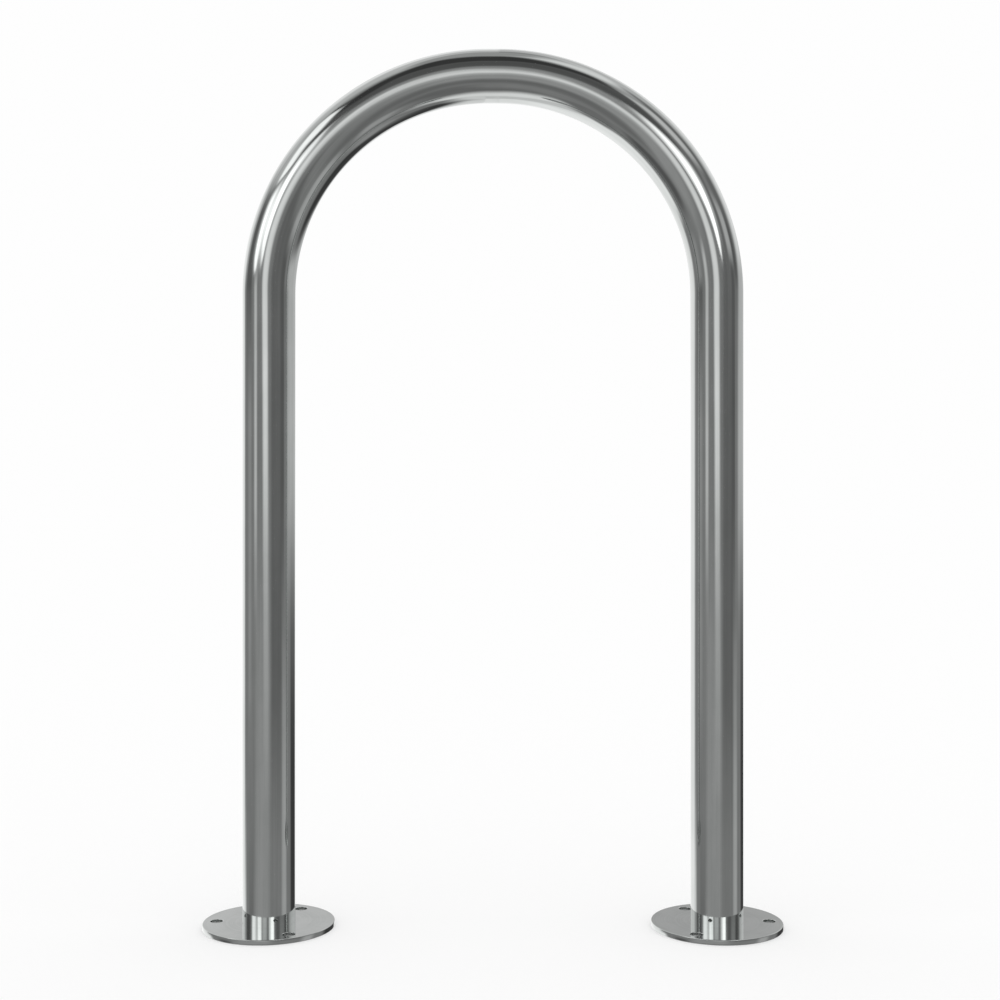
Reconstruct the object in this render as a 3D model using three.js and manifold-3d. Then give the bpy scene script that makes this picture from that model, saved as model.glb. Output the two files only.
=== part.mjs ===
// Hoop bike rack: a polished steel tube bent into an arch, standing on two round floor flanges.
// Millimetres, +Z up. The origin lies on the floor, midway between the two legs, which stand along X.

import * as THREE from 'three';
import { mergeVertices } from 'three/addons/utils/BufferGeometryUtils.js';
import Module from 'manifold-3d';

const wasm = await Module();
wasm.setup();

// Hoop tube
const OVERALL_HEIGHT = 850; // floor to the highest line of the arch
const TUBE_DIAMETER = 50.8;
const TUBE_WALL = 3;
const BEND_RADIUS = 211.7; // of the tube's axis, in each quarter bend
const CROWN_FLAT = 11.2; // straight length between the two bends

// Floor flanges
const FLANGE_DIAMETER = 127;
const FLANGE_THICKNESS = 5;
const FLANGE_EDGE_CHAMFER = 0.5;
const BOLT_HOLE_DIAMETER = 12;
const BOLT_EDGE_DISTANCE = 12.7; // from the flange's rim to a hole's centre
const BOLT_HOLE_COUNT = 3;

// Leg to flange joint: the tube stops inside the flange's bore, and a weld seals the pocket below it
const BORE_CLEARANCE = 0.3; // all round the tube
const TUBE_END_SETBACK = 2; // tube's cut end above the flange's floor face
const WELD_CLEARANCE = 0.3; // round the weld, and between it and the floor
const WELD_CROWN_SHARE = 0.35; // of the weld's height, rounded over at its two lower edges

const CUT_OVERRUN = 5; // of every hole's cutter past the faces that it cuts

// Facets
const TUBE_SIDES = 48;
const TUBE_BORE_SIDES = 24;
const BEND_STEPS = 18;
const FLANGE_SIDES = 96;
const BOLT_HOLE_SIDES = 32;
const WELD_SIDES = 48;

// Sizes that follow from those above
const FULL_TURN = 2 * Math.PI;
const QUARTER_TURN = Math.PI / 2;
const TUBE_RADIUS = TUBE_DIAMETER / 2;
const TUBE_BORE_RADIUS = TUBE_RADIUS - TUBE_WALL;
const CROWN_HALF_FLAT = CROWN_FLAT / 2;
const LEG_OFFSET = BEND_RADIUS + CROWN_HALF_FLAT; // of each leg's axis from the middle
const SPRING_HEIGHT = OVERALL_HEIGHT - TUBE_RADIUS - BEND_RADIUS; // where the bends leave the legs
const FLANGE_RADIUS = FLANGE_DIAMETER / 2;
const FLANGE_BORE_RADIUS = TUBE_RADIUS + BORE_CLEARANCE;
const BOLT_CIRCLE_RADIUS = FLANGE_RADIUS - BOLT_EDGE_DISTANCE;
const WELD_BOTTOM = WELD_CLEARANCE;
const WELD_TOP = TUBE_END_SETBACK - WELD_CLEARANCE;
const WELD_OUTER_RADIUS = FLANGE_BORE_RADIUS - WELD_CLEARANCE;

// The two feet: the side of the middle that each stands on
const FEET = { left: -1, right: 1 };

// Steel, with the photographed grey of each piece

function polishedSteel(color) {
  return new THREE.MeshStandardMaterial({ color, roughness: 0.08, metalness: 1 });
}

function weldedSteel() {
  return new THREE.MeshStandardMaterial({ color: 0x6f6b66, roughness: 0.45, metalness: 1 });
}

// Solids

function toSolid(geometry) {
  geometry.deleteAttribute('normal');
  geometry.deleteAttribute('uv');
  const merged = mergeVertices(geometry);
  return new wasm.Manifold(new wasm.Mesh({
    numProp: 3,
    vertProperties: new Float32Array(merged.attributes.position.array),
    triVerts: new Uint32Array(merged.index.array),
  }));
}

function toGeometry(solid) {
  const mesh = solid.getMesh();
  const geometry = new THREE.BufferGeometry();
  geometry.setAttribute('position', new THREE.BufferAttribute(mesh.vertProperties, 3));
  geometry.setIndex(new THREE.BufferAttribute(mesh.triVerts, 1));
  geometry.computeVertexNormals();
  return geometry;
}

// A ring turned about Z from the closed outline of its section, given as [radius, height] points.
function turned(outline, sides) {
  const profile = [...outline, outline[0]].map(([radius, height]) => new THREE.Vector2(radius, height));
  return new THREE.LatheGeometry(profile, sides).rotateX(QUARTER_TURN);
}

function circlePoints(radius, sides) {
  const points = [];
  for (let side = 0; side < sides; side += 1) {
    const angle = FULL_TURN * side / sides;
    points.push(new THREE.Vector2(radius * Math.cos(angle), radius * Math.sin(angle)));
  }
  return points;
}

// Hoop tube

// The tube's axis: up the left leg, over two quarter bends and the flat between them, and down the right leg.
// Each leg and the flat take one step, and each bend takes BEND_STEPS.
class HoopAxis extends THREE.Curve {
  constructor() {
    super();
    this.stations = [];
    this.addStation(-LEG_OFFSET, TUBE_END_SETBACK, QUARTER_TURN);
    this.addBend(-CROWN_HALF_FLAT, 2 * QUARTER_TURN, QUARTER_TURN);
    this.addBend(CROWN_HALF_FLAT, QUARTER_TURN, 0);
    this.addStation(LEG_OFFSET, TUBE_END_SETBACK, -QUARTER_TURN);
  }

  get steps() {
    return this.stations.length - 1;
  }

  addStation(x, z, heading) {
    this.stations.push({
      point: new THREE.Vector3(x, 0, z),
      tangent: new THREE.Vector3(Math.cos(heading), 0, Math.sin(heading)),
    });
  }

  addBend(centreX, startAngle, endAngle) {
    for (let step = 0; step <= BEND_STEPS; step += 1) {
      const angle = startAngle + (endAngle - startAngle) * step / BEND_STEPS;
      const x = centreX + BEND_RADIUS * Math.cos(angle);
      const z = SPRING_HEIGHT + BEND_RADIUS * Math.sin(angle);
      this.addStation(x, z, angle - QUARTER_TURN);
    }
  }

  stationAt(share) {
    return this.stations[Math.round(share * this.steps)];
  }

  getPointAt(share, target = new THREE.Vector3()) {
    return target.copy(this.stationAt(share).point);
  }

  getTangentAt(share, target = new THREE.Vector3()) {
    return target.copy(this.stationAt(share).tangent);
  }
}

function hoopTube() {
  const section = new THREE.Shape(circlePoints(TUBE_RADIUS, TUBE_SIDES));
  section.holes.push(new THREE.Path(circlePoints(TUBE_BORE_RADIUS, TUBE_BORE_SIDES)));
  const axis = new HoopAxis();
  const geometry = new THREE.ExtrudeGeometry(section, { extrudePath: axis, steps: axis.steps });
  const mesh = new THREE.Mesh(geometry, polishedSteel(0x8a8c8b));
  mesh.name = 'hoop_tube';
  return mesh;
}

// Floor flanges

function flangeBlank() {
  const chamferedRadius = FLANGE_RADIUS - FLANGE_EDGE_CHAMFER;
  return turned([
    [FLANGE_BORE_RADIUS, 0],
    [chamferedRadius, 0],
    [FLANGE_RADIUS, FLANGE_EDGE_CHAMFER],
    [FLANGE_RADIUS, FLANGE_THICKNESS - FLANGE_EDGE_CHAMFER],
    [chamferedRadius, FLANGE_THICKNESS],
    [FLANGE_BORE_RADIUS, FLANGE_THICKNESS],
  ], FLANGE_SIDES);
}

function boltHoleCutter(angle) {
  const radius = BOLT_HOLE_DIAMETER / 2;
  const length = FLANGE_THICKNESS + 2 * CUT_OVERRUN;
  return new THREE.CylinderGeometry(radius, radius, length, BOLT_HOLE_SIDES)
    .rotateX(QUARTER_TURN)
    .translate(BOLT_CIRCLE_RADIUS * Math.cos(angle), BOLT_CIRCLE_RADIUS * Math.sin(angle), FLANGE_THICKNESS / 2);
}

// The hole pattern starts at the outer hole, which points straight away from the other foot.
function flange(footName, side) {
  let solid = toSolid(flangeBlank());
  const outward = side < 0 ? 2 * QUARTER_TURN : 0;
  for (let hole = 0; hole < BOLT_HOLE_COUNT; hole += 1) {
    const angle = outward + FULL_TURN * hole / BOLT_HOLE_COUNT;
    solid = solid.subtract(toSolid(boltHoleCutter(angle)));
  }
  const mesh = new THREE.Mesh(toGeometry(solid), polishedSteel(0xa6a8a7));
  mesh.name = `${footName}_flange`;
  return mesh;
}

// Seal welds

function sealWeld(footName) {
  const crown = WELD_CROWN_SHARE * (WELD_TOP - WELD_BOTTOM);
  const geometry = turned([
    [TUBE_BORE_RADIUS, WELD_BOTTOM + crown],
    [TUBE_BORE_RADIUS + crown, WELD_BOTTOM],
    [WELD_OUTER_RADIUS - crown, WELD_BOTTOM],
    [WELD_OUTER_RADIUS, WELD_BOTTOM + crown],
    [WELD_OUTER_RADIUS, WELD_TOP],
    [TUBE_BORE_RADIUS, WELD_TOP],
  ], WELD_SIDES);
  const mesh = new THREE.Mesh(geometry, weldedSteel());
  mesh.name = `${footName}_seal_weld`;
  return mesh;
}

// Assembly

function foot(footName, side) {
  const group = new THREE.Group();
  group.add(flange(footName, side), sealWeld(footName));
  group.position.x = side * LEG_OFFSET;
  return group;
}

function bikeRack() {
  const rack = new THREE.Group();
  rack.add(hoopTube());
  for (const [footName, side] of Object.entries(FEET)) {
    rack.add(foot(footName, side));
  }
  return rack;
}

export default bikeRack();
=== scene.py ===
"""Hoop bike rack: polished steel tube, flanges and welds, in a plain studio with soft lights."""

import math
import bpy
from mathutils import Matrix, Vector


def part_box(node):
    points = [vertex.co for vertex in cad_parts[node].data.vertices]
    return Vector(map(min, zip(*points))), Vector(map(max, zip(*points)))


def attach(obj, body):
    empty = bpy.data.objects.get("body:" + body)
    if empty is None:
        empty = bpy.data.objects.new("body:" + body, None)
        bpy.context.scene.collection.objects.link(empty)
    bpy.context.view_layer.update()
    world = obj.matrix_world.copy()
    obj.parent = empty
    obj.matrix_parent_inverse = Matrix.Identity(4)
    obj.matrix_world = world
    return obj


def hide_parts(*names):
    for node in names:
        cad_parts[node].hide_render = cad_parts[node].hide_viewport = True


bl_info = {
    "name": "Hoop bike rack",
    "version": (1, 0, 0),
    "blender": (4, 5, 0),
    "location": "3D View > Sidebar > Bike Rack",
    "description": "Dresses the hoop bike rack in polished steel and sets up its studio",
    "category": "Object",
}

import bmesh
import bpy
from mathutils import Vector

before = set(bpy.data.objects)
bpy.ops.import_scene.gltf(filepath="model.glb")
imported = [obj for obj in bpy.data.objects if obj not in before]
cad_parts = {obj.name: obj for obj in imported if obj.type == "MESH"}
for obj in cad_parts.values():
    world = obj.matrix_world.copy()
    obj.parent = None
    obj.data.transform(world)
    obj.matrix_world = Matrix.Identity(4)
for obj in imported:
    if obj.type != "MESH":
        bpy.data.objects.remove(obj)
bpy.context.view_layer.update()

# Sizes of the pieces, in metres, from the frame
TUBE_LOW, TUBE_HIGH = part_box("hoop_tube")
FLANGE_LOW, FLANGE_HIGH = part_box("right_flange")
WELD_LOW, WELD_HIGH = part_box("right_seal_weld")
TUBE_RADIUS = (TUBE_HIGH.y - TUBE_LOW.y) / 2
TUBE_END_HEIGHT = TUBE_LOW.z
LEG_OFFSET = TUBE_HIGH.x - TUBE_RADIUS  # of each leg's axis from the middle
FLANGE_RADIUS = (FLANGE_HIGH.y - FLANGE_LOW.y) / 2
FLANGE_THICKNESS = FLANGE_HIGH.z - FLANGE_LOW.z
WELD_RADIUS = (WELD_HIGH.y - WELD_LOW.y) / 2
FEET = {"left": -1, "right": 1}  # the side of the middle that each stands on

# Fineness of the meshes
TUBE_SIDES = 128
BEND_STEPS = 72
RIM_POINTS = 192
HOLE_POINTS = 64
EDGE_RESOLUTION = 3  # of the rounded edges of a flange
MERGE_SHARE = 1 / 50  # of the edge rounding, within which a flange's points become one
FLAT_NORMAL = 0.999  # how upright a normal is, from which a flange's face is shaded flat
WELD_POINTS = 144
WELD_SECTION_POINTS = 16


# Shader building


class Wire:
    """A value in a node tree. Arithmetic on it adds Math nodes."""

    def __init__(self, builder, socket):
        self.builder = builder
        self.socket = socket

    def math(self, operation, *others):
        return self.builder.math(operation, self, *others)

    def __add__(self, other):
        return self.math("ADD", other)

    def __radd__(self, other):
        return self.builder.math("ADD", other, self)

    def __sub__(self, other):
        return self.math("SUBTRACT", other)

    def __rsub__(self, other):
        return self.builder.math("SUBTRACT", other, self)

    def __mul__(self, other):
        return self.math("MULTIPLY", other)

    def __rmul__(self, other):
        return self.builder.math("MULTIPLY", other, self)

    def __neg__(self):
        return self.math("MULTIPLY", -1)


class Builder:
    """Adds nodes to one tree."""

    def __init__(self, tree):
        self.tree = tree
        tree.nodes.clear()

    def node(self, kind, settings=None, **inputs):
        """One node: its type, its settings, and what its sockets hold, which is a value or a wire.

        A socket goes by its name, with _ for a space, or by its number after a _.
        """
        node = self.tree.nodes.new(kind)
        for name, value in (settings or {}).items():
            setattr(node, name, value)
        for name, value in inputs.items():
            key = int(name[1:]) if name[0] == "_" else name.replace("_", " ")
            self.feed(node.inputs[key], value)
        return node

    def feed(self, socket, value):
        if isinstance(value, Wire):
            self.tree.links.new(value.socket, socket)
        else:
            socket.default_value = value

    def out(self, node, name=0):
        return Wire(self, node.outputs[name])

    def math(self, operation, *values):
        inputs = {f"_{number}": value for number, value in enumerate(values)}
        return self.out(self.node("ShaderNodeMath", {"operation": operation}, **inputs))

    def rise(self, value, low, high):
        """0 below low, 1 above high, and a smooth rise between them."""
        settings = {"interpolation_type": "SMOOTHSTEP"}
        node = self.node("ShaderNodeMapRange", settings, Value=value, From_Min=low, From_Max=high)
        return self.out(node)

    def within(self, value, low, high, softness):
        """1 from low to high, fading over softness at each end. An end that is None stays open."""
        half = softness / 2
        if low is None:
            return 1 - self.rise(value, high - half, high + half)
        inside = self.rise(value, low - half, low + half)
        if high is None:
            return inside
        return inside * (1 - self.rise(value, high - half, high + half))

    def mix(self, factor, start, end):
        """From start to end as the factor goes from 0 to 1."""
        return start + factor * (end - start)

    def separate(self, vector):
        node = self.node("ShaderNodeSeparateXYZ", None, Vector=vector)
        return [self.out(node, axis) for axis in ("X", "Y", "Z")]

    def scaled(self, vector, scale):
        node = self.node("ShaderNodeVectorMath", {"operation": "MULTIPLY"}, _0=vector, _1=scale)
        return self.out(node, "Vector")

    def noise(self, vector, scale, detail, roughness=0.5):
        values = {"Scale": scale, "Detail": detail, "Roughness": roughness}
        return self.out(self.node("ShaderNodeTexNoise", None, Vector=vector, **values), "Fac")

    def colour_mix(self, factor, first, second):
        node = self.node("ShaderNodeMix", {"data_type": "RGBA"}, _0=factor, _6=first, _7=second)
        return self.out(node, 2)

    def bump(self, height, distance):
        node = self.node("ShaderNodeBump", None, Strength=1.0, Distance=distance, Height=height)
        return self.out(node, "Normal")


def new_material(name):
    material = bpy.data.materials.new(name)
    material.use_nodes = True
    return material, Builder(material.node_tree)


# Finishes

# Noise patterns, scaled in waves to a metre
BELT_LINES = {"scale": 300.0, "detail": 5.0, "roughness": 0.7}
BELT_SWELL = {"scale": 28.0, "detail": 1.0}
BELT_SMEARS = {"scale": 60.0, "detail": 4.0, "roughness": 0.6}
MILL_GRAIN = {"scale": 400.0, "detail": 4.0, "roughness": 0.6}
TURNING_LINES = {"scale": 1500.0, "detail": 2.0}
PLATE_SMEARS = {"scale": 45.0, "detail": 4.0, "roughness": 0.6}
HEAT_TINT = {"scale": 120.0, "detail": 3.0}
WELD_GRAIN = {"scale": 1800.0, "detail": 4.0, "roughness": 0.6}

# How many times longer a pattern is along the tube than round it
BELT_LINE_STRETCH = 100
BELT_SWELL_STRETCH = 4
BELT_SMEAR_STRETCH = 2.5
MILL_STRETCH = 10

# Heights of the patterns, in metres
TUBE_RELIEF = 0.00002
PLATE_RELIEF = 0.00001
MILL_RELIEF = 0.00005
WELD_RELIEF = 0.00003

# The polish
POLISH_CONTRAST = (0.36, 0.64)  # noise levels at which the polish shows its darker and its paler colour
BELT_LINE_SHARE = 0.6  # of the lines in the tube's paleness, where the rest is smears
TURNING_LINE_SHARE = 0.5  # the same on the plates
LINE_HEIGHT = 0.2  # of the lines, as a share of the relief
SMEAR_ROUGHNESS = (0.6, 1.6)  # shares of the polish roughness, between the smears and in them

# The bore's darker and paler colour, the straw and the blue heat colour of the welds, and their roughness
MILL_COLOURS = ((0.24, 0.235, 0.23, 1), (0.38, 0.375, 0.365, 1))
MILL_ROUGHNESS = (0.35, 0.55)
WELD_COLOURS = ((0.46, 0.36, 0.22, 1), (0.28, 0.31, 0.38, 1))
WELD_ROUGHNESS = (0.25, 0.5)

STRAIGHT_TUBE = "straight_tube"  # attribute with a point's place on the tube, as if that were straight


def finish_steel(b, colour, roughness, height, relief):
    """Bare metal, raised by the height times the relief, which is in metres."""
    normal = b.bump(height, relief)
    inputs = {"Base_Color": colour, "Metallic": 1.0, "Roughness": roughness, "Normal": normal}
    surface = b.node("ShaderNodeBsdfPrincipled", None, **inputs)
    b.node("ShaderNodeOutputMaterial", None, Surface=b.out(surface))


def finish_polish(b, settings, lines, line_share, smears, swell, relief):
    """Mirror polish, paler in its lines and smears, rougher in its smears, raised by lines and swell."""
    colours = [(*colour, 1) for colour in (settings.steel_colour, settings.steel_pale_colour)]
    paleness = b.rise(lines * line_share + smears * (1 - line_share), *POLISH_CONTRAST)
    colour = b.colour_mix(paleness, *colours)
    roughness = b.mix(smears, *[settings.polish_roughness * share for share in SMEAR_ROUGHNESS])
    finish_steel(b, colour, roughness, lines * LINE_HEIGHT + swell, relief)


def straight_tube(b):
    return b.out(b.node("ShaderNodeAttribute", {"attribute_name": STRAIGHT_TUBE}), "Vector")


def tube_noise(b, along, pattern, stretch):
    """A pattern on the tube, this many times longer along it than round it."""
    return b.noise(b.scaled(along, (1, 1, 1 / stretch)), **pattern)


def polished_tube_steel(settings):
    """Mirror polish with faint lines along the tube and a slow swell left by the polishing belt."""
    material, b = new_material("polished_tube_steel")
    along = straight_tube(b)
    lines = tube_noise(b, along, BELT_LINES, BELT_LINE_STRETCH)
    swell = tube_noise(b, along, BELT_SWELL, BELT_SWELL_STRETCH)
    smears = tube_noise(b, along, BELT_SMEARS, BELT_SMEAR_STRETCH)
    finish_polish(b, settings, lines, BELT_LINE_SHARE, smears, swell, TUBE_RELIEF)
    return material


def polished_plate_steel(settings):
    """Mirror polish with faint turning lines round the plate's centre."""
    material, b = new_material("polished_plate_steel")
    place = b.out(b.node("ShaderNodeTexCoord"), "Object")
    x, y, z = b.separate(place)
    radius = (x * x + y * y).math("SQRT")
    turned = b.out(b.node("ShaderNodeCombineXYZ", None, X=radius, Y=z))
    lines = b.noise(turned, **TURNING_LINES)
    smears = b.noise(place, **PLATE_SMEARS)
    finish_polish(b, settings, lines, TURNING_LINE_SHARE, smears, smears, PLATE_RELIEF)
    return material


def mill_steel():
    """The tube's unpolished bore."""
    material, b = new_material("mill_steel")
    grain = tube_noise(b, straight_tube(b), MILL_GRAIN, MILL_STRETCH)
    colour = b.colour_mix(grain, *MILL_COLOURS)
    finish_steel(b, colour, b.mix(grain, *MILL_ROUGHNESS), grain, MILL_RELIEF)
    return material


def weld_steel():
    """A cleaned weld bead, with a trace of straw and blue heat colour."""
    material, b = new_material("weld_steel")
    place = b.out(b.node("ShaderNodeTexCoord"), "Object")
    heat = b.noise(place, **HEAT_TINT)
    grain = b.noise(place, **WELD_GRAIN)
    colour = b.colour_mix(heat, *WELD_COLOURS)
    finish_steel(b, colour, b.mix(grain, *WELD_ROUGHNESS), grain, WELD_RELIEF)
    return material


# Meshes


def link_piece(name, mesh, node, x=0):
    """Puts a mesh in the scene as the piece that stands for a node of the frame."""
    piece = bpy.data.objects.new(name, mesh)
    piece.location.x = x
    bpy.context.scene.collection.objects.link(piece)
    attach(piece, "root")
    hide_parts(node)


def mesh_data(name, mesh):
    """Blender's mesh from a bmesh, which is used up."""
    data = bpy.data.meshes.new(name)
    mesh.to_mesh(data)
    mesh.free()
    return data


def add_strips(mesh, rings):
    """Smooth faces from each ring of vertices to the next, and from the last ring to the first."""
    strips = []
    for ring, after in zip(rings, rings[1:] + rings[:1]):
        strip = []
        for number in range(len(ring)):
            beside = (number + 1) % len(ring)
            face = mesh.faces.new((ring[number], after[number], after[beside], ring[beside]))
            face.smooth = True
            strip.append(face)
        strips.append(strip)
    return strips


def outward_at(angle):
    """The direction away from the hoop's middle, at this angle round a bend."""
    return Vector((math.cos(angle), 0, math.sin(angle)))


def hoop_stations(settings):
    """Stations on the tube's axis: point, direction away from the hoop's middle, and length so far."""
    half_flat = settings.crown_flat / 2
    bend_radius = LEG_OFFSET - half_flat
    spring_height = TUBE_HIGH.z - TUBE_RADIUS - bend_radius
    places = [(Vector((-LEG_OFFSET, 0, TUBE_END_HEIGHT)), math.pi)]
    for centre_x, start in ((-half_flat, math.pi), (half_flat, math.pi / 2)):
        centre = Vector((centre_x, 0, spring_height))
        for step in range(BEND_STEPS + 1):
            angle = start - step / BEND_STEPS * math.pi / 2
            places.append((centre + outward_at(angle) * bend_radius, angle))
    places.append((Vector((LEG_OFFSET, 0, TUBE_END_HEIGHT)), 0.0))
    stations = []
    length = 0.0
    before = places[0][0]
    for point, angle in places:
        length += (point - before).length
        stations.append((point, outward_at(angle), length))
        before = point
    return stations


def add_tube_ring(mesh, layer, station, radius):
    """Vertices in a ring round a station of the tube's axis, and the direction from the axis to each."""
    point, outward, length = station
    ring = []
    directions = []
    for side in range(TUBE_SIDES):
        turn = math.tau * side / TUBE_SIDES
        direction = outward * math.cos(turn) + Vector((0, math.sin(turn), 0))
        vertex = mesh.verts.new(point + direction * radius)
        vertex[layer] = (radius * math.cos(turn), radius * math.sin(turn), length)
        ring.append(vertex)
        directions.append(direction)
    return ring, directions


def set_normals(data, normals):
    """Gives smooth faces the exact normals of their points, and leaves flat faces flat."""
    corner_normals = []
    for polygon in data.polygons:
        for vertex in polygon.vertices:
            corner_normals.append(normals[vertex] if polygon.use_smooth else polygon.normal)
    data.normals_split_custom_set(corner_normals)


def hoop_tube_mesh(settings):
    """The bent tube with its wall: outer rings from end to end, then the bore's rings back again."""
    stations = hoop_stations(settings)
    bore_radius = TUBE_RADIUS - settings.tube_wall
    courses = [(station, TUBE_RADIUS, 1) for station in stations]
    courses += [(station, bore_radius, -1) for station in reversed(stations)]
    mesh = bmesh.new()
    layer = mesh.verts.layers.float_vector.new(STRAIGHT_TUBE)
    rings = []
    normals = []
    for station, radius, facing in courses:
        ring, directions = add_tube_ring(mesh, layer, station, radius)
        rings.append(ring)
        normals += [direction * facing for direction in directions]
    strips = add_strips(mesh, rings)
    # The two cut ends are flat, and they and the bore between them take the second material.
    cut_end = len(stations) - 1
    for face in strips[cut_end] + strips[-1]:
        face.smooth = False
    for strip in strips[cut_end:]:
        for face in strip:
            face.material_index = 1
    data = mesh_data("hoop_tube_polished", mesh)
    set_normals(data, normals)
    return data


def add_circle(curve, centre_x, centre_y, radius, points):
    spline = curve.splines.new("POLY")
    spline.points.add(points - 1)
    for number, point in enumerate(spline.points):
        turn = math.tau * number / points
        point.co = (centre_x + radius * math.cos(turn), centre_y + radius * math.sin(turn), 0, 1)
    spline.use_cyclic_u = True


def flange_outline(name, side, settings, bore_radius):
    """A flange's rim, bore and bolt holes as a curve, with the plate's thickness and rounded edges."""
    rounding = settings.edge_rounding
    curve = bpy.data.curves.new(name, "CURVE")
    curve.dimensions = "2D"
    curve.fill_mode = "BOTH"
    curve.extrude = FLANGE_THICKNESS / 2 - rounding
    curve.bevel_depth = rounding
    curve.bevel_resolution = EDGE_RESOLUTION
    curve.offset = -rounding
    add_circle(curve, 0, 0, FLANGE_RADIUS, RIM_POINTS)
    add_circle(curve, 0, 0, bore_radius - rounding, TUBE_SIDES)
    bolt_circle_radius = FLANGE_RADIUS - settings.bolt_edge_distance
    for hole in range(settings.bolt_holes):
        turn = math.tau * hole / settings.bolt_holes
        x = side * bolt_circle_radius * math.cos(turn)
        y = bolt_circle_radius * math.sin(turn)
        add_circle(curve, x, y, settings.bolt_hole_diameter / 2, HOLE_POINTS)
    return curve


def mesh_from_curve(name, curve):
    """The mesh that a curve makes. The curve is used up."""
    holder = bpy.data.objects.new(name, curve)
    bpy.context.scene.collection.objects.link(holder)
    bpy.context.view_layer.update()
    solid = holder.evaluated_get(bpy.context.evaluated_depsgraph_get())
    data = bpy.data.meshes.new_from_object(solid)
    bpy.data.objects.remove(holder)
    bpy.data.curves.remove(curve)
    mesh = bmesh.new()
    mesh.from_mesh(data)
    bpy.data.meshes.remove(data)
    return mesh


def flange_mesh(name, side, settings):
    """A round plate on the floor at the origin, with rounded rim and bolt holes and a sharp bore."""
    bore_radius = TUBE_RADIUS + settings.joint_line
    mesh = mesh_from_curve(name + "_outline", flange_outline(name, side, settings, bore_radius))
    bmesh.ops.remove_doubles(mesh, verts=mesh.verts[:], dist=settings.edge_rounding * MERGE_SHARE)
    bmesh.ops.translate(mesh, verts=mesh.verts[:], vec=(0, 0, FLANGE_THICKNESS / 2))
    # The rounding that reaches into the bore is pushed back to the bore's wall.
    for vertex in mesh.verts:
        reach = vertex.co.xy.length
        if reach < bore_radius:
            vertex.co.xy *= bore_radius / reach
    bmesh.ops.recalc_face_normals(mesh, faces=mesh.faces[:])
    for face in mesh.faces:
        face.smooth = abs(face.normal.z) < FLAT_NORMAL
    return mesh_data(name, mesh)


def weld_mesh(name, settings):
    """A weld bead round the tube's end, with the small overlapping waves that the torch leaves."""
    inner_radius = TUBE_RADIUS - settings.tube_wall
    middle_radius = (WELD_RADIUS + inner_radius) / 2
    half_width = (WELD_RADIUS - inner_radius) / 2
    middle_height = (WELD_HIGH.z + WELD_LOW.z) / 2
    half_height = (WELD_HIGH.z - WELD_LOW.z) / 2
    mesh = bmesh.new()
    rings = []
    for number in range(WELD_POINTS):
        turn = math.tau * number / WELD_POINTS
        wave = 1 - settings.weld_wave * abs(math.sin(turn * settings.weld_waves / 2))
        ring = []
        for point in range(WELD_SECTION_POINTS):
            angle = math.tau * point / WELD_SECTION_POINTS
            radius = middle_radius + half_width * math.cos(angle)
            height = middle_height + half_height * math.sin(angle) * (wave if math.sin(angle) < 0 else 1)
            ring.append(mesh.verts.new((radius * math.cos(turn), radius * math.sin(turn), height)))
        rings.append(ring)
    add_strips(mesh, rings)
    return mesh_data(name, mesh)


# Studio

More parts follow.
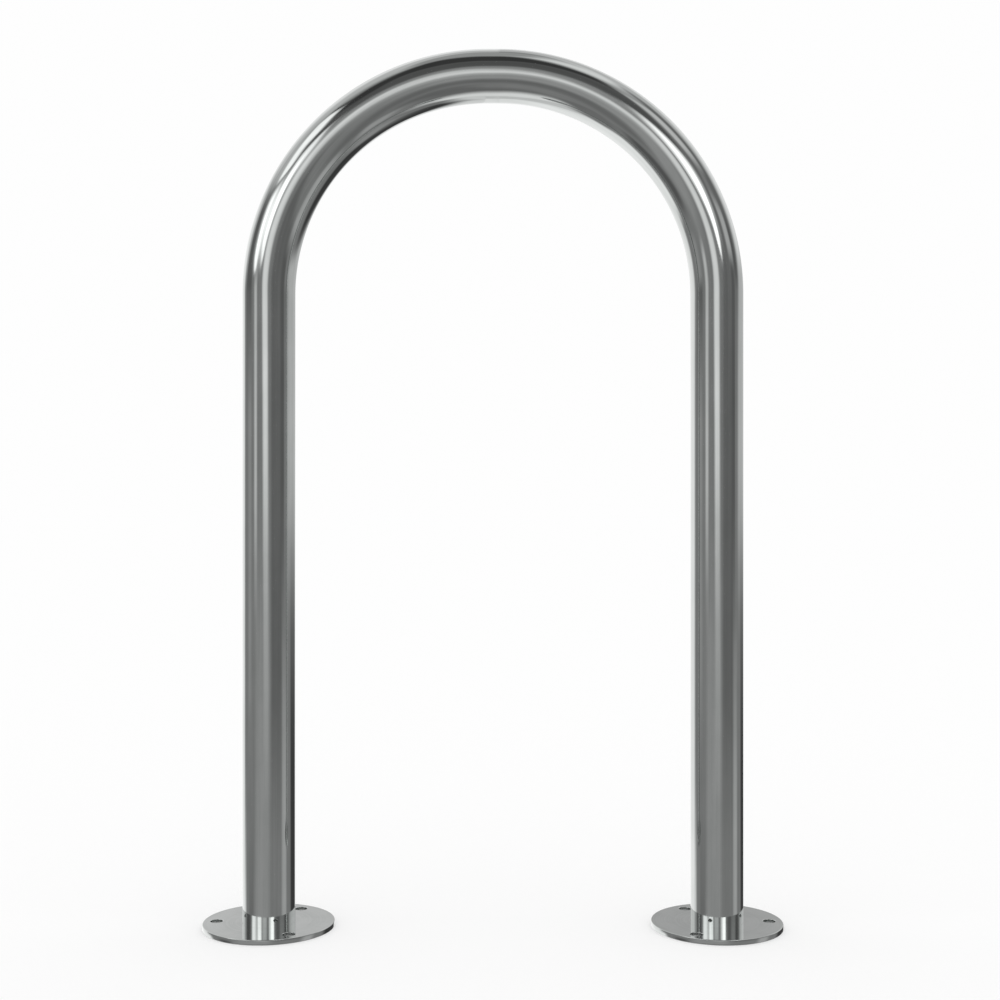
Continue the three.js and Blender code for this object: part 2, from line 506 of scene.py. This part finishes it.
# Soft lights and shades round the rack, by direction from it, in degrees. Azimuth 0 is straight back to
# the camera, and azimuth grows to the picture's right. Level 1 is white. Later patches lie over earlier
# ones. A lean moves a patch sideways by that many degrees for each degree above its middle. An end that is
# None stays open. With a dozen more patches the world draws black, as one shader can't hold them.
# name: azimuth from, to, elevation from, to, softness in azimuth, in elevation, level, lean
STUDIO_PATCHES = {
    "ceiling": (-400, None, 74, None, 1, 14, 0.45, 0),
    "left_wall_high": (None, -86, 31, 73, 50, 8, 0.70, 0.9),
    "left_wall_side": (-140, -105, 12, 33, 14, 10, 0.56, 0),
    "left_wall": (None, -120, -58, 25, 17, 14, 1.12, 0),
    "left_wall_low": (-170, -108, -48, -14, 14, 10, 1.22, 0),
    "left_wall_foot": (None, -120, -67, -57, 20, 10, 0.84, 0),
    "left_wall_rear": (None, -130, 20, 54, 34, 12, 1.05, 0),
    "left_high_wall_glow": (-130, -108, 33, 44, 12, 6, 0.78, 0),
    "right_wall_high": (108, None, 8, 68, 26, 10, 0.67, 0),
    "right_wall": (96, None, -2, 14, 14, 8, 0.63, 0),
    "right_wall_rear": (121, None, 14, 44, 30, 8, 0.98, 0.5),
    "right_dark": (119, 190, -37, -5, 16, 12, 0.06, -0.2),
    "right_dark_low": (144, 190, -56, -32, 44, 12, 0.05, 0),
    "right_dark_foot": (120, 168, -68, -56, 20, 8, 0.25, 0),
    "right_low_light": (106, 130, -54, -39, 16, 8, 0.38, 0),
    "right_wall_far": (172, None, -45, 4, 10, 8, 0.95, 0),
    "right_far_glow": (164, None, -17, 0, 10, 8, 0.95, 0),
    "right_wall_foot": (167, None, -72, -36, 24, 8, 0.94, 0.9),
    "low_front_light": (-52, 12, -26, -4, 24, 12, 0.39, 0),
    "low_front_shade": (-50, 60, -44, -27, 20, 14, 0.20, 0),
    "low_middle_shade": (4, 46, -72, -48, 24, 12, 0.19, 0),
    "low_left_floor": (-90, -46, -66, -49, 16, 8, 0.22, 0),
    "low_left_shade": (-86, -62, -44, -16, 16, 10, 0.13, 0),
    "low_right_light": (68, 90, -36, -8, 14, 10, 0.52, 0),
    "low_right_glow": (55, 80, -57, -44, 14, 8, 0.46, 0),
    "right_front_shade": (18, 66, -10, 15, 14, 8, 0.18, 0),
    "right_side_shade": (60, 78, -3, 15, 10, 8, 0.14, 0),
    "left_side_glow": (-92, -74, -8, 6, 12, 6, 0.38, 0),
    "left_side_shade": (-104, -72, 6, 29, 14, 8, 0.15, 0),
    "left_window_side": (-83, -60, 15, 31, 6, 8, 0.3, 0),
    "front_high_shade": (-56, 51, 50, 78, 30, 10, 0.055, 0),
    "front_middle_shade": (-42, 42, 28, 52, 12, 10, 0.12, 0),
    "left_high_glow": (-103, -80, 33, 45.5, 12, 5, 0.62, 0),
    "left_high_gap": (-54, -27, 43, 60, 8, 6, 0.055, 0),
    "left_high_frame": (-80, -52, 52.5, 55.5, 10, 2.5, 0.1, 0),
    "window_gap": (-22, 10, 14, 25, 10, 12, 0.38, 0),
    "window_glow": (-19.5, -1, 7, 17, 11, 9, 1.06, 0),
    "right_corner_shade": (76, 101, 8, 58, 16, 10, 0.20, 0),
    "right_corner_low": (80, 94, 12, 25, 10, 8, 0.14, 0),
    "right_low_corner": (42, 58, 6, 39, 10, 8, 0.20, 0),
    "right_high_wash": (52, 88, 57.5, 64, 16, 5, 0.48, 0),
    "right_high_light": (42, 128, 63, 81, 72, 8, 1.02, -2.0),
    "right_high_window": (49, 80.5, 38.8, 56, 18, 8, 0.72, -0.6),
    "right_small_window": (57, 79, 16, 28, 12, 7, 0.56, 0),
    "left_high_window": (-80, -53, 33.3, 50.6, 16, 2.4, 1.6, -0.3),
    "left_high_tip": (-77, -61, 46, 52.4, 10, 1.6, 1.42, 0),
    "left_high_window_side": (-62, -48.5, 39, 50, 12, 5, 1.48, -1),
    "left_window": (-70, -49, 13.8, 30.2, 20, 6, 1.85, -0.25),
    "left_window_core": (-66.5, -56, 14.4, 24, 10, 5, 2.25, 0),
    "left_window_tip": (-64.5, -54, 12.1, 17, 7, 1.6, 1.8, -0.3),
    "left_inner_window": (-42.5, -24.5, 13.8, 29.7, 11, 8, 1.75, 0),
    "left_window_edge": (-34, -21, 20, 31, 5, 6, 1.35, -1),
    "left_inner_core": (-41, -26.5, 14.6, 26, 9, 5, 2.35, -0.2),
    "left_inner_foot": (-35.5, -27, 11.8, 16, 7, 1.8, 1.7, 0),
    "left_window_bridge": (-54, -39, 17, 26, 8, 6, 1.5, 0),
    "right_window_side": (22, 41, 17, 30, 14, 8, 0.78, 0.5),
    "right_window_edge": (10, 30, 12.6, 24, 5, 3, 1.02, 0.7),
    "right_window": (13.4, 33, 16, 28.6, 8, 8, 1.66, 0.6),
    "right_window_core": (17.5, 31, 13.8, 24, 8, 4, 2.6, 0.35),
    "right_window_foot": (17.5, 27, 11.5, 15, 5.5, 0.8, 1.9, 0.9),
    "far_glow_foot": (-14, 7, -10, -5, 12, 6, 0.48, 0),
    "far_glow": (-18, 3.5, -2, 11, 12, 14, 1.05, -0.3),
    "small_glow": (-58, -45, -2, 11, 10, 7, 0.72, 0),
    "rear_left_strip": (None, -166, 8, 30, 10, 8, 0.65, 0),
    "rear_right_strip": (166, None, 8, 30, 10, 8, 0.49, 0),
}

# The floor in the mirrored studio, straight below the rack: grey in front and white behind
FLOOR_TURN = math.radians(20)  # of the way from grey to white
FLOOR_FADE_DEPTHS = (-0.25, 0.15)  # of a direction one unit long
FLOOR_FADE_ELEVATIONS = (-74, -58)
FLOOR_FRONT_LEVEL = 0.2
FLOOR_REAR_LEVEL = 1.06
DEGREES = 180 / math.pi  # in a radian

# The floor under the rack
FLOOR_STEP = 0.0001  # from the rack down to the spots under its flanges, and on to the floor
FLOOR_CELLS = 8  # along each side
SPOT_SHARE = 0.97  # of a flange's radius

SENSOR_WIDTH = 36.0  # of the camera, in millimetres


def build_world(settings):
    """White to the camera and to plain surfaces. The polished steel mirrors soft lights and shades."""
    world = bpy.data.worlds.new("studio")
    world.use_nodes = True
    b = Builder(world.node_tree)
    x, y, z = b.separate(b.out(b.node("ShaderNodeTexCoord"), "Generated"))
    azimuth = x.math("ARCTAN2", -y) * DEGREES
    elevation = z.math("ARCSINE") * DEGREES
    depth = y * math.cos(FLOOR_TURN) - x * math.sin(FLOOR_TURN)
    below = b.mix(b.rise(depth, *FLOOR_FADE_DEPTHS), FLOOR_FRONT_LEVEL, FLOOR_REAR_LEVEL)
    level = b.mix(b.rise(elevation, *FLOOR_FADE_ELEVATIONS), below, settings.front_level)
    for low_a, high_a, low_e, high_e, soft_a, soft_e, patch_level, lean in STUDIO_PATCHES.values():
        sideways = azimuth - lean * (elevation - (low_e + high_e) / 2) if lean else azimuth
        mask = b.within(sideways, low_a, high_a, soft_a) * b.within(elevation, low_e, high_e, soft_e)
        level = b.mix(mask, level, patch_level)
    white = b.node("ShaderNodeBackground", None, Color=(1, 1, 1, 1), Strength=settings.background_white)
    studio = b.node("ShaderNodeBackground", None, Color=level, Strength=1.0)
    mirrored = b.out(b.node("ShaderNodeLightPath"), "Is Glossy Ray")
    either = b.node("ShaderNodeMixShader", None, _0=mirrored, _1=b.out(white), _2=b.out(studio))
    b.node("ShaderNodeOutputWorld", None, Surface=b.out(either))
    world.cycles.sampling_method = "NONE"
    bpy.context.scene.world = world


def floor_material(settings):
    """A pale matt floor that keeps the shadows and shows as white as the background behind it."""
    material, b = new_material("pale_floor")
    matt = b.node("ShaderNodeBsdfDiffuse", None, Color=(*[settings.floor_paleness] * 3, 1))
    lift = settings.background_white * (1 - settings.floor_paleness)
    glow = b.node("ShaderNodeEmission", None, Color=(1, 1, 1, 1), Strength=lift)
    lifted = b.node("ShaderNodeAddShader", None, _0=b.out(matt), _1=b.out(glow))
    seen = b.out(b.node("ShaderNodeLightPath"), "Is Camera Ray")
    either = b.node("ShaderNodeMixShader", None, _0=seen, _1=b.out(matt), _2=b.out(lifted))
    b.node("ShaderNodeOutputMaterial", None, Surface=b.out(either))
    return material


def place_floor(name, mesh, material, x, drop):
    """Puts a piece of floor in the scene, this far below the rack."""
    data = mesh_data(name, mesh)
    data.materials.append(material)
    floor = bpy.data.objects.new(name, data)
    floor.location = (x, 0, -drop)
    bpy.context.scene.collection.objects.link(floor)
    return floor


def build_floor(settings):
    """The wide floor, which the steel doesn't mirror, and spots under the flanges, which it does."""
    material = floor_material(settings)
    mesh = bmesh.new()
    half_side = settings.floor_size / 2
    bmesh.ops.create_grid(mesh, x_segments=FLOOR_CELLS, y_segments=FLOOR_CELLS, size=half_side)
    floor = place_floor("floor", mesh, material, 0, 2 * FLOOR_STEP)
    floor.visible_glossy = False
    for foot, side in FEET.items():
        mesh = bmesh.new()
        radius = FLANGE_RADIUS * SPOT_SHARE
        bmesh.ops.create_circle(mesh, cap_ends=True, segments=HOLE_POINTS, radius=radius)
        place_floor(f"{foot}_floor_spot", mesh, material, side * LEG_OFFSET, FLOOR_STEP)


def build_camera(settings):
    """A level camera in front of the rack."""
    camera = bpy.data.objects.new("camera", bpy.data.cameras.new("camera"))
    camera.data.sensor_width = SENSOR_WIDTH
    camera.data.lens = settings.lens
    camera.location = (settings.camera_aside, -settings.camera_distance, settings.camera_height)
    camera.rotation_euler = (math.pi / 2, 0, 0)
    bpy.context.scene.collection.objects.link(camera)
    bpy.context.scene.camera = camera


# Add-on


class RackSettings(bpy.types.PropertyGroup):
    """Sizes and finish of the rack's pieces"""

    tube_wall: bpy.props.FloatProperty(
        name="Tube wall",
        description="Thickness of the tube's wall",
        default=0.003, unit="LENGTH")
    crown_flat: bpy.props.FloatProperty(
        name="Crown flat",
        description="Straight length between the two bends",
        default=0.0112, unit="LENGTH")
    bolt_hole_diameter: bpy.props.FloatProperty(
        name="Bolt hole",
        description="Diameter of each bolt hole",
        default=0.012, unit="LENGTH")
    bolt_edge_distance: bpy.props.FloatProperty(
        name="Bolt edge distance",
        description="From a flange's rim to a hole's centre",
        default=0.0127, unit="LENGTH")
    bolt_holes: bpy.props.IntProperty(
        name="Bolt holes",
        description="Number of bolt holes in each flange",
        default=3, min=1)
    edge_rounding: bpy.props.FloatProperty(
        name="Edge rounding",
        description="Radius on the edges of the flanges",
        default=0.0005, unit="LENGTH")
    joint_line: bpy.props.FloatProperty(
        name="Joint line",
        description="Gap that shows between a leg and its flange",
        default=0.00004, unit="LENGTH")
    weld_waves: bpy.props.IntProperty(
        name="Weld waves",
        description="Number of waves round each weld",
        default=48, min=2)
    weld_wave: bpy.props.FloatProperty(
        name="Weld wave depth",
        description="Depth of the waves as a share of the bead's lower half",
        default=0.35, subtype="FACTOR")
    steel_colour: bpy.props.FloatVectorProperty(
        name="Steel",
        description="Colour of the polished steel",
        default=(0.544, 0.562, 0.553), subtype="COLOR")
    steel_pale_colour: bpy.props.FloatVectorProperty(
        name="Pale steel",
        description="Colour of its paler lines and smears",
        default=(0.609, 0.624, 0.617), subtype="COLOR")
    polish_roughness: bpy.props.FloatProperty(
        name="Polish roughness",
        description="Roughness of the mirror polish",
        default=0.06, subtype="FACTOR")


class StudioSettings(bpy.types.PropertyGroup):
    """Light, floor and camera"""

    background_white: bpy.props.FloatProperty(
        name="Background white",
        description="Level of the white background",
        default=0.99)
    front_level: bpy.props.FloatProperty(
        name="Front level",
        description="Grey of the studio in front of the rack",
        default=0.28)
    floor_paleness: bpy.props.FloatProperty(
        name="Floor paleness",
        description="Colour of the floor, from black to white",
        default=0.6, subtype="FACTOR")
    floor_size: bpy.props.FloatProperty(
        name="Floor size",
        description="Length of the floor's side",
        default=60.0, unit="LENGTH")
    camera_distance: bpy.props.FloatProperty(
        name="Camera distance",
        description="From the rack's middle to the camera",
        default=1.44, unit="LENGTH")
    camera_height: bpy.props.FloatProperty(
        name="Camera height",
        description="Of the lens above the floor",
        default=0.4135, unit="LENGTH")
    camera_aside: bpy.props.FloatProperty(
        name="Camera aside",
        description="Of the lens, to the right of the middle",
        default=0.0069, unit="LENGTH")
    lens: bpy.props.FloatProperty(
        name="Lens",
        description="Focal length in millimetres",
        default=53.42, unit="CAMERA")


class RACK_OT_hoop_tube(bpy.types.Operator):
    """Make the polished hoop tube"""

    bl_idname = "rack.hoop_tube"
    bl_label = "Hoop tube"

    def execute(self, context):
        settings = context.scene.rack
        mesh = hoop_tube_mesh(settings)
        mesh.materials.append(polished_tube_steel(settings))
        mesh.materials.append(mill_steel())
        link_piece("hoop_tube_polished", mesh, "hoop_tube")
        return {"FINISHED"}


class RACK_OT_flanges(bpy.types.Operator):
    """Make the two floor flanges"""

    bl_idname = "rack.flanges"
    bl_label = "Floor flanges"

    def execute(self, context):
        settings = context.scene.rack
        steel = polished_plate_steel(settings)
        for foot, side in FEET.items():
            name = f"{foot}_flange_polished"
            mesh = flange_mesh(name, side, settings)
            mesh.materials.append(steel)
            link_piece(name, mesh, f"{foot}_flange", side * LEG_OFFSET)
        return {"FINISHED"}


class RACK_OT_seal_welds(bpy.types.Operator):
    """Make the seal welds under the flanges"""

    bl_idname = "rack.seal_welds"
    bl_label = "Seal welds"

    def execute(self, context):
        settings = context.scene.rack
        steel = weld_steel()
        for foot, side in FEET.items():
            name = f"{foot}_seal_weld_bead"
            mesh = weld_mesh(name, settings)
            mesh.materials.append(steel)
            link_piece(name, mesh, f"{foot}_seal_weld", side * LEG_OFFSET)
        return {"FINISHED"}


class RACK_OT_studio(bpy.types.Operator):
    """Set up the floor, the light and the camera"""

    bl_idname = "rack.studio"
    bl_label = "Studio"

    def execute(self, context):
        settings = context.scene.rack_studio
        context.scene.view_settings.view_transform = "Standard"
        build_world(settings)
        build_floor(settings)
        build_camera(settings)
        return {"FINISHED"}


OPERATORS = (RACK_OT_hoop_tube, RACK_OT_flanges, RACK_OT_seal_welds, RACK_OT_studio)


class RACK_PT_sidebar(bpy.types.Panel):
    """Lists the rack's pieces and settings"""

    bl_label = "Hoop bike rack"
    bl_idname = "RACK_PT_sidebar"
    bl_space_type = "VIEW_3D"
    bl_region_type = "UI"
    bl_category = "Bike Rack"

    def draw(self, context):
        for operator in OPERATORS:
            self.layout.operator(operator.bl_idname)
        for group in (context.scene.rack, context.scene.rack_studio):
            for name in group.__annotations__:
                self.layout.prop(group, name)


CLASSES = (RackSettings, StudioSettings, *OPERATORS, RACK_PT_sidebar)


def register():
    for cls in CLASSES:
        bpy.utils.register_class(cls)
    bpy.types.Scene.rack = bpy.props.PointerProperty(type=RackSettings)
    bpy.types.Scene.rack_studio = bpy.props.PointerProperty(type=StudioSettings)


def unregister():
    del bpy.types.Scene.rack_studio
    del bpy.types.Scene.rack
    for cls in reversed(CLASSES):
        bpy.utils.unregister_class(cls)


def main():
    register()
    bpy.ops.rack.hoop_tube()
    bpy.ops.rack.flanges()
    bpy.ops.rack.seal_welds()
    bpy.ops.rack.studio()


if __name__ == "__main__":
    main()
